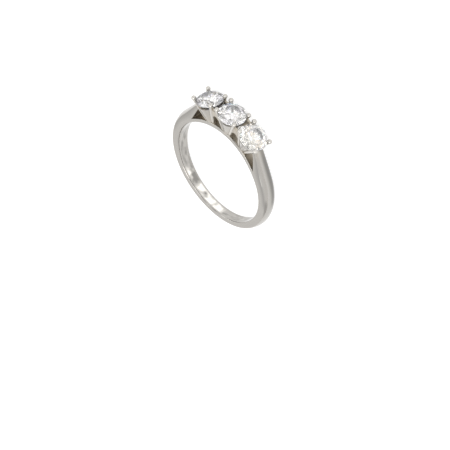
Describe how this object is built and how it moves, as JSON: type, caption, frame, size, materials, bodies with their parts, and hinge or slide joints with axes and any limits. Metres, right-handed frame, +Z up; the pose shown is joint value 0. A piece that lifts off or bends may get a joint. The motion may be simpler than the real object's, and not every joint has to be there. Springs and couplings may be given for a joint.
{
  "type": "three stone ring",
  "caption": "Finger ring with a slim domed band, open shoulders and a row of round brilliants in tapered claw collets on an inner rail.",
  "frame": {"origin": "centre of the finger hole, midway through the band", "axes": "The ring lies on its back side as it rests by itself: +Z is up, along the finger axis to within the resting tilt of about three and a half degrees, +Y points from the finger hole to the middle stone, and +X runs along the row of stones."},
  "size_m": [0.0204, 0.023, 0.0043],
  "materials": {
    "polished_white_metal": "polished",
    "colourless_stone": "faceted and polished"
  },
  "bodies": {
    "root": {"band_and_setting": "polished_white_metal", "left_stone": "colourless_stone", "middle_stone": "colourless_stone", "right_stone": "colourless_stone"}
  },
  "joints": []
}
